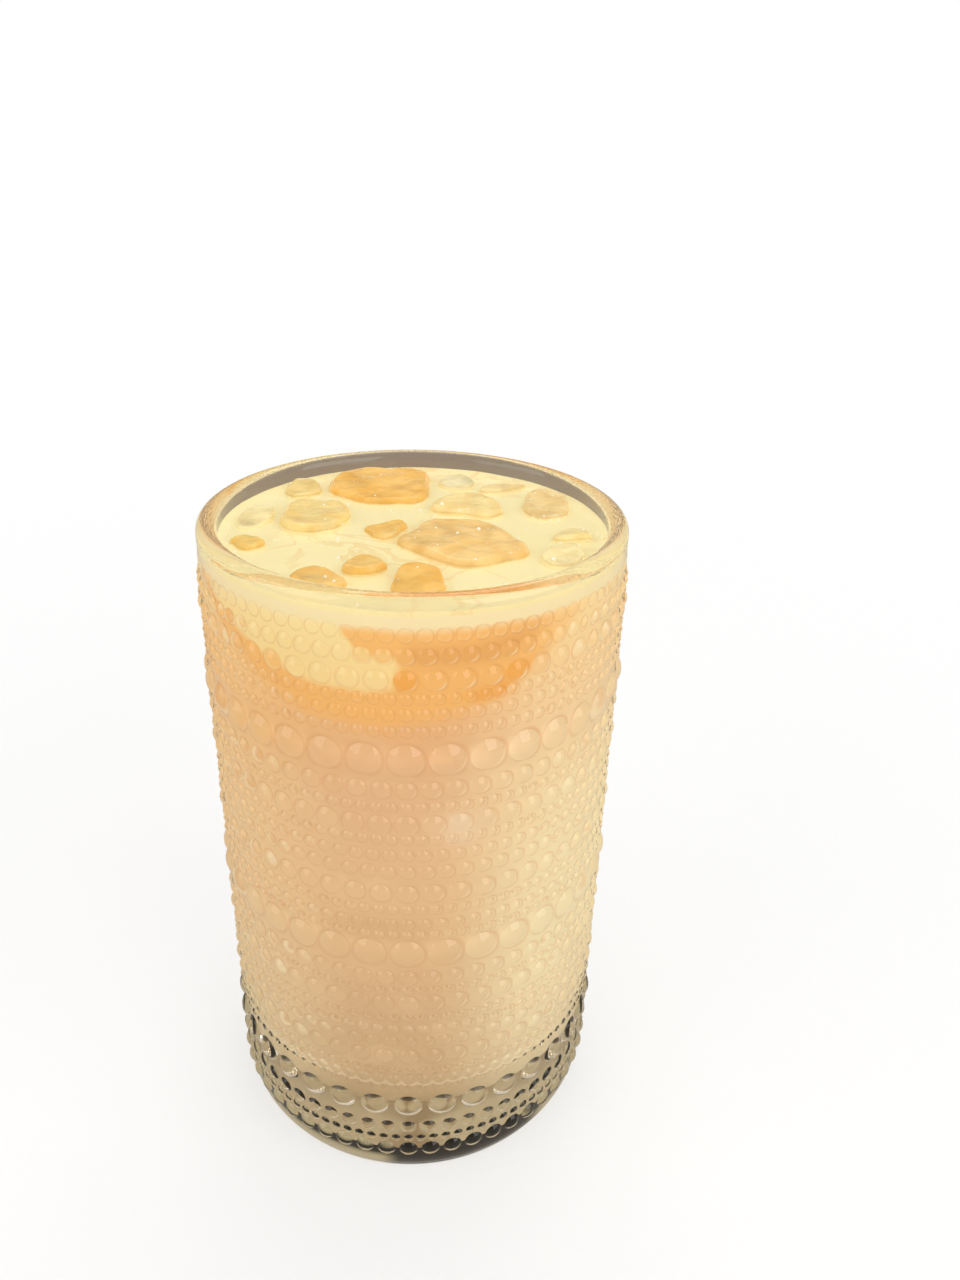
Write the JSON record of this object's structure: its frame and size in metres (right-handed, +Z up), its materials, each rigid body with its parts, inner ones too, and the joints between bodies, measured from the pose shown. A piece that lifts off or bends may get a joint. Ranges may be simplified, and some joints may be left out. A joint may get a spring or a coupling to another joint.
{
  "type": "iced milk tea in a glass",
  "caption": "Iced milk tea in a tall pressed glass beaded all round: milk tea, darker tea and a milk layer, with ice breaking the surface.",
  "frame": {"origin": "centre of the glass's foot, on the surface it stands on", "axes": "+Z up along the glass's axis, -Y towards the side that the picture shows, +X to its right"},
  "size_m": [0.0786, 0.0786, 0.1283],
  "materials": {
    "clear_glass": "clear pressed soda-lime glass, fire polished, beaded outside",
    "milk_tea": "opaque tan milk tea, pinkish above and paler tan below",
    "amber_tea": "translucent amber tea with milk running into it",
    "milk_cream": "pale cream-yellow milk, glossy and wet on top",
    "ice": "melting ice tinted amber by the tea, wet, with small air bubbles"
  },
  "bodies": {
    "root": {"glass": "clear_glass", "milk_tea": "milk_tea", "tea_layer": "amber_tea", "cream_layer": "milk_cream", "ice_back_block": "ice", "ice_middle_block": "ice", "ice_middle_point": "ice", "ice_pale_slab": "ice", "ice_left_lump": "ice", "ice_left_back_lump": "ice", "ice_left_chip": "ice", "ice_front_chip": "ice", "ice_front_lump": "ice", "ice_far_left_lump": "ice", "ice_front_hump": "ice", "ice_right_back_round": "ice", "ice_back_round": "ice", "ice_back_sliver": "ice", "ice_right_crescent": "ice", "ice_right_front_round": "ice"}
  },
  "joints": []
}
